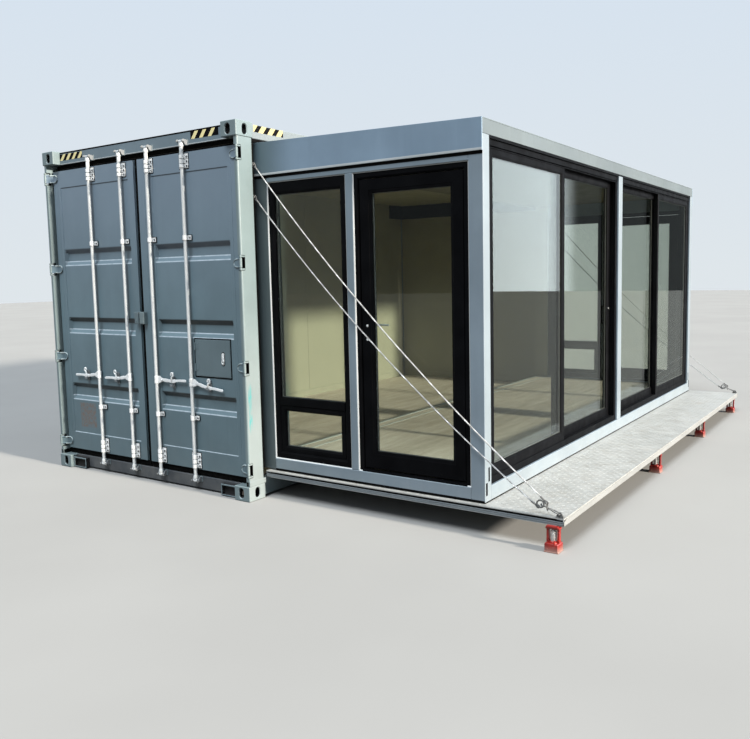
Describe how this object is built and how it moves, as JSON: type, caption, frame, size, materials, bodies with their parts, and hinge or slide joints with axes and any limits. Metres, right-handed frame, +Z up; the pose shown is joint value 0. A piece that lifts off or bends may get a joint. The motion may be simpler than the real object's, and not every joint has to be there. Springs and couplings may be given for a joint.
{
  "type": "shipping container cabin",
  "caption": "Steel shipping container with cargo doors and a glazed slide-out room standing on its fold-down side deck, held by wire stays and screw jacks.",
  "frame": {"origin": "centre of the whole plan (container with its deck folded down) at ground level", "axes": "+Z up; +Y along the container from the cargo doors to the blank end; +X out over the deck"},
  "size_m": [4.9, 6.058, 2.896],
  "materials": {
    "steel_paint": "semi-gloss grey coating",
    "pale_paint": "pale grey coating",
    "galvanised": "galvanised, bright",
    "rope_steel": "stranded wire",
    "deck_steel": "pale, worn tread plate",
    "red_paint": "gloss red",
    "rubber_black": "matt",
    "frame_black": "black powder coat",
    "clear_glass": "clear float glass",
    "underframe": "dark chassis coating",
    "floor_sheet": "grey sheet floor",
    "lining": "off-white lining board"
  },
  "bodies": {
    "container": {"corner_castings": "steel_paint", "corner_posts": "steel_paint", "door_header": "steel_paint", "door_sill": "steel_paint", "sill_recess_boxes": "steel_paint", "blank_end_frame": "steel_paint", "top_side_rails": "steel_paint", "bottom_side_rails": "steel_paint", "roof_panel": "steel_paint", "long_side_wall": "steel_paint", "blank_end_wall": "steel_paint", "cross_members": "underframe", "container_floor": "floor_sheet", "wall_linings": "lining", "ceiling_lining": "lining", "door_end_fittings": "galvanised", "deck_frame": "steel_paint", "deck_plate": "deck_steel", "deck_jacks": "red_paint", "stay_ropes": "rope_steel", "stay_fittings": "galvanised"},
    "left_cargo_door": {"left_door_leaf": "steel_paint", "left_door_gasket": "rubber_black", "left_door_hardware": "galvanised", "lock_box": "steel_paint"},
    "right_cargo_door": {"right_door_leaf": "steel_paint", "right_door_gasket": "rubber_black", "right_door_hardware": "galvanised"},
    "access_hatch": {"access_hatch": "steel_paint"},
    "left_outer_lock_bar": {"left_outer_lock_bar": "galvanised"},
    "left_inner_lock_bar": {"left_inner_lock_bar": "galvanised"},
    "right_inner_lock_bar": {"right_inner_lock_bar": "galvanised"},
    "right_outer_lock_bar": {"right_outer_lock_bar": "galvanised"},
    "room": {"room_floor": "floor_sheet", "room_roof": "pale_paint", "end_fascias": "steel_paint", "side_fascia": "pale_paint", "room_posts": "pale_paint", "sill_beams": "pale_paint", "head_beams": "steel_paint", "window_frames": "frame_black", "door_frames": "frame_black", "slider_frames": "frame_black", "fixed_sashes": "frame_black", "fixed_panes": "clear_glass"},
    "front_glazed_door": {"front_door_leaf": "frame_black", "front_door_pane": "clear_glass"},
    "rear_glazed_door": {"rear_door_leaf": "frame_black", "rear_door_pane": "clear_glass"},
    "near_slider": {"near_sliding_sash": "frame_black", "near_sliding_pane": "clear_glass"},
    "far_slider": {"far_sliding_sash": "frame_black", "far_sliding_pane": "clear_glass"}
  },
  "joints": [
    {"name": "left_cargo_door_hinge", "type": "hinge", "parent": "container", "child": "left_cargo_door", "pos_m": [-2.437, -3.017, 1.44], "axis": [0, 0, -1], "range_deg": [0, 270]},
    {"name": "right_cargo_door_hinge", "type": "hinge", "parent": "container", "child": "right_cargo_door", "pos_m": [-0.025, -3.017, 1.44], "axis": [0, 0, 1], "range_deg": [0, 180]},
    {"name": "access_hatch_hinge", "type": "hinge", "parent": "right_cargo_door", "child": "access_hatch", "pos_m": [-0.61, -2.975, 1.1], "axis": [0, 0, 1], "range_deg": [-90, 0]},
    {"name": "left_outer_lock_bar_turn", "type": "hinge", "parent": "left_cargo_door", "child": "left_outer_lock_bar", "pos_m": [-1.84, -2.993, 0.895], "axis": [0, 0, -1], "range_deg": [-105, 0]},
    {"name": "left_inner_lock_bar_turn", "type": "hinge", "parent": "left_cargo_door", "child": "left_inner_lock_bar", "pos_m": [-1.417, -2.993, 0.895], "axis": [0, 0, -1], "range_deg": [-105, 0]},
    {"name": "right_inner_lock_bar_turn", "type": "hinge", "parent": "right_cargo_door", "child": "right_inner_lock_bar", "pos_m": [-1.069, -2.993, 0.895], "axis": [0, 0, 1], "range_deg": [-105, 0]},
    {"name": "right_outer_lock_bar_turn", "type": "hinge", "parent": "right_cargo_door", "child": "right_outer_lock_bar", "pos_m": [-0.646, -2.993, 0.895], "axis": [0, 0, 1], "range_deg": [-105, 0]},
    {"name": "room_slide", "type": "slide", "parent": "container", "child": "room", "axis": [1, 0, 0], "range_m": [-2, 0]},
    {"name": "front_glazed_door_hinge", "type": "hinge", "parent": "room", "child": "front_glazed_door", "pos_m": [1.745, -2.716, 1.37], "axis": [0, 0, -1], "range_deg": [0, 90]},
    {"name": "rear_glazed_door_hinge", "type": "hinge", "parent": "room", "child": "rear_glazed_door", "pos_m": [1.745, 2.716, 1.37], "axis": [0, 0, 1], "range_deg": [0, 90]},
    {"name": "near_slider_travel", "type": "slide", "parent": "room", "child": "near_slider", "axis": [0, -1, 0], "range_m": [0, 1.2]},
    {"name": "far_slider_travel", "type": "slide", "parent": "room", "child": "far_slider", "axis": [0, 1, 0], "range_m": [0, 1.2]}
  ]
}
